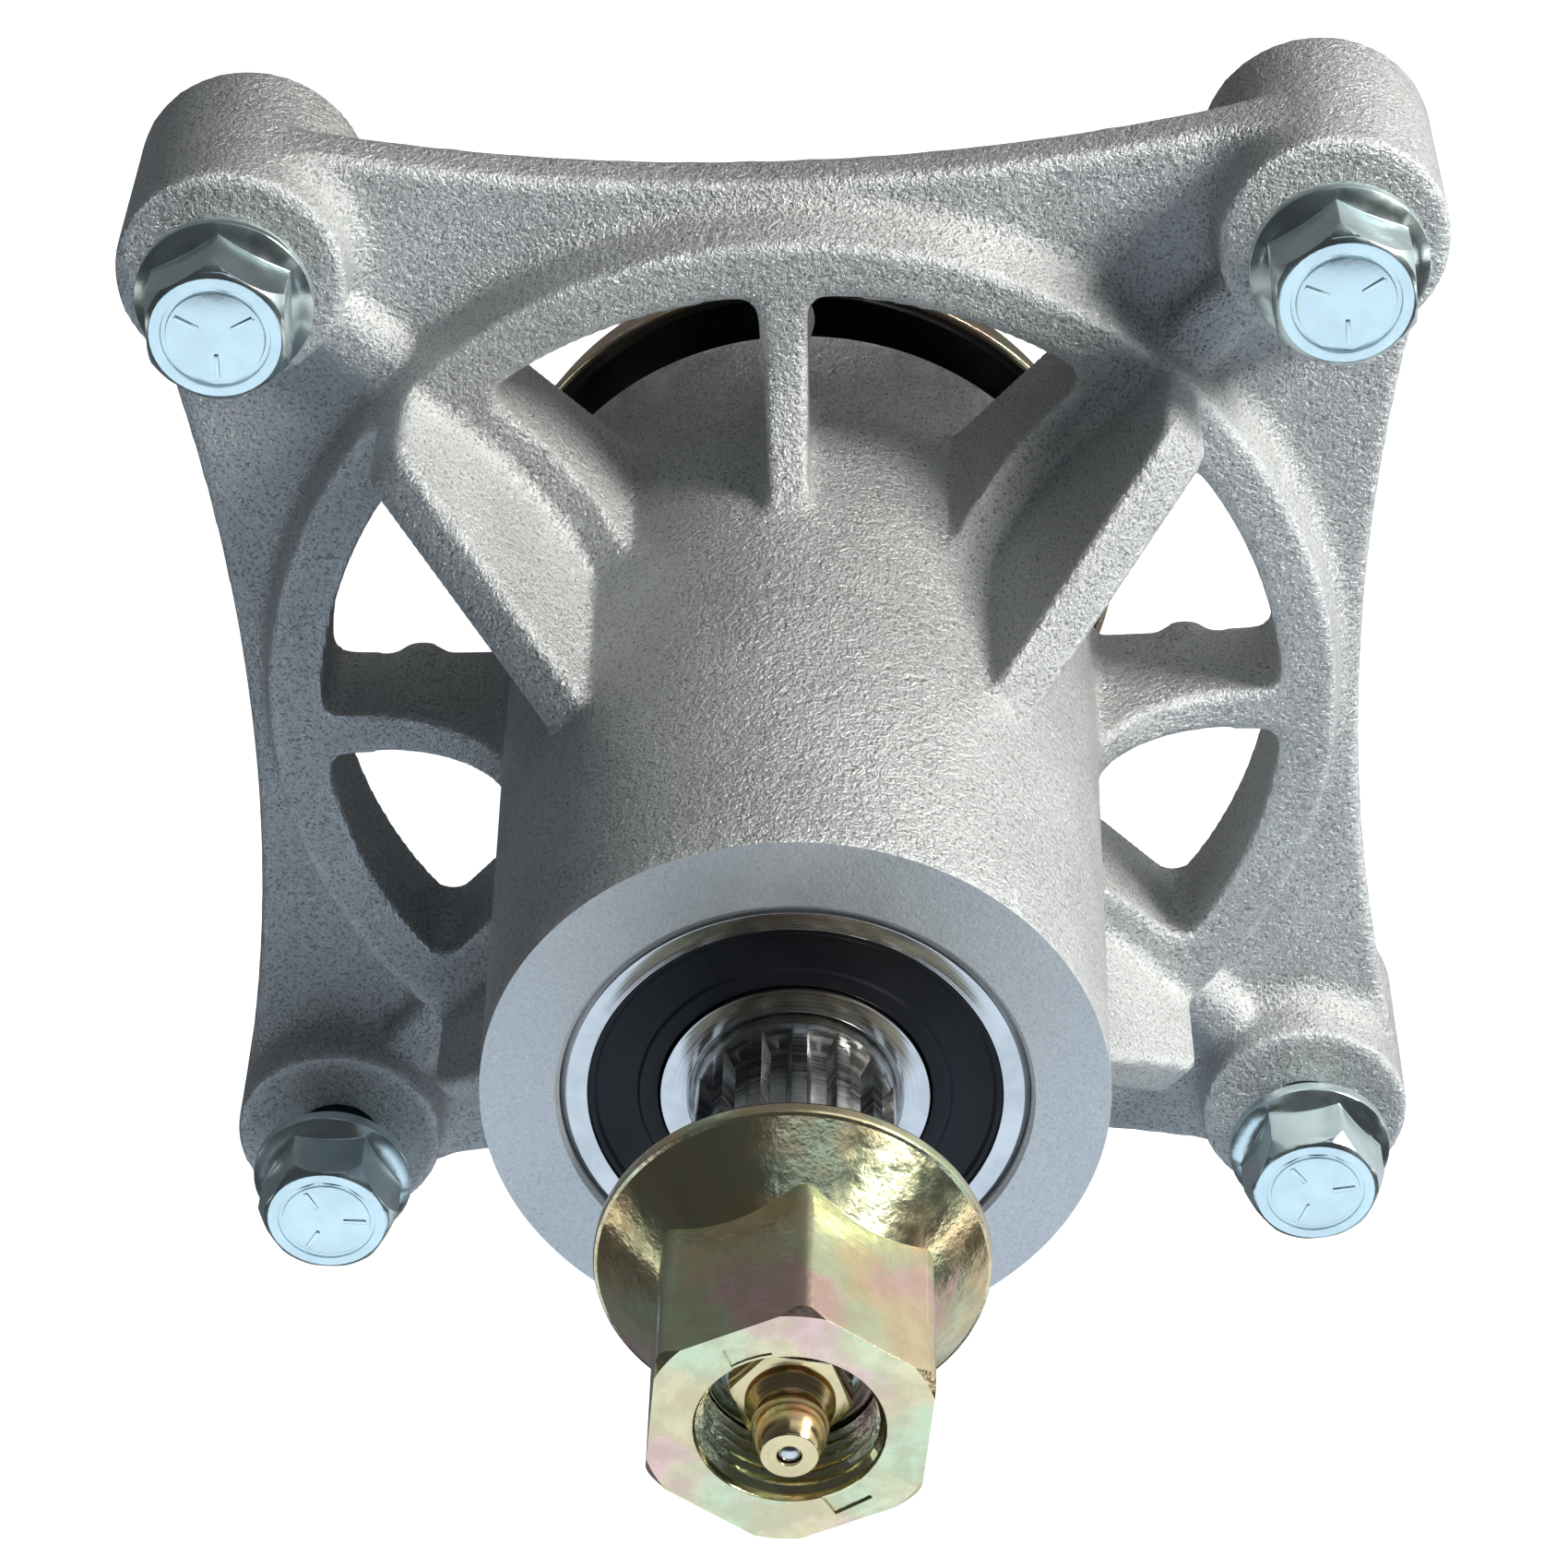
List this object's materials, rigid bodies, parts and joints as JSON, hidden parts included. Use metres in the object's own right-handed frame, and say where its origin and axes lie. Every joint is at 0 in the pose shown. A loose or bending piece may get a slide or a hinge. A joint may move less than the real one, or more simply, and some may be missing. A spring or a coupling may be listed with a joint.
{
  "type": "mower deck spindle",
  "caption": "Ribbed cast housing with bosses at the corners of a square plate, carrying a splined spindle shaft in sealed ball bearings, with a flange nut and a grease fitting.",
  "frame": {"origin": "centre of the plane of the four boss feet, where the casting stands on the deck, on the spindle axis", "axes": "+Z along the spindle axis towards the pulley nut, +X and +Y along the sides of the square plate"},
  "size_m": [0.1562, 0.1562, 0.1939],
  "materials": {
    "cast_aluminium": "sand cast and blasted",
    "ground_steel": "turned and ground",
    "yellow_zinc": "yellow passivated zinc",
    "fitting_brass": "polished brass",
    "bearing_steel": "ground and polished",
    "spring_steel": "drawn wire",
    "clear_zinc": "clear blue passivated zinc",
    "cage_plastic": "moulded",
    "seal_rubber": "moulded"
  },
  "bodies": {
    "casting": {"housing": "cast_aluminium", "deck_bolts": "clear_zinc", "upper_bearing_outer_ring": "bearing_steel", "upper_bearing_top_seal": "seal_rubber", "upper_bearing_bottom_seal": "seal_rubber", "lower_bearing_outer_ring": "bearing_steel", "lower_bearing_top_seal": "seal_rubber", "lower_bearing_bottom_seal": "seal_rubber"},
    "spindle": {"shaft": "ground_steel", "spacer_tube": "ground_steel", "flange_nut": "yellow_zinc", "grease_fitting": "fitting_brass", "check_spring": "spring_steel", "dust_cup": "yellow_zinc", "upper_bearing_inner_ring": "bearing_steel", "lower_bearing_inner_ring": "bearing_steel"},
    "upper_ball_train": {"upper_bearing_balls": "bearing_steel", "upper_bearing_cage": "cage_plastic"},
    "lower_ball_train": {"lower_bearing_balls": "bearing_steel", "lower_bearing_cage": "cage_plastic"},
    "inlet_ball": {"check_ball": "bearing_steel"}
  },
  "joints": [
    {"name": "spindle_spin", "type": "hinge", "parent": "casting", "child": "spindle", "pos_m": [0, 0, 0.05], "axis": [0, 0, 1], "continuous": true},
    {"name": "upper_balls_roll", "type": "hinge", "parent": "casting", "child": "upper_ball_train", "pos_m": [0, 0, 0.094], "axis": [0, 0, 1], "continuous": true},
    {"name": "lower_balls_roll", "type": "hinge", "parent": "casting", "child": "lower_ball_train", "pos_m": [0, 0, 0.0035], "axis": [0, 0, 1], "continuous": true},
    {"name": "inlet_ball_slide", "type": "slide", "parent": "spindle", "child": "inlet_ball", "axis": [0, 0, 1], "range_m": [-0.001, 0], "stiffness_N_per_m": 60, "springref_m": 0.001, "deforming": ["check_spring"]}
  ],
  "couplings": [
    {"joint": "upper_balls_roll", "follows": "spindle_spin", "ratio": 0.393},
    {"joint": "lower_balls_roll", "follows": "spindle_spin", "ratio": 0.393}
  ]
}
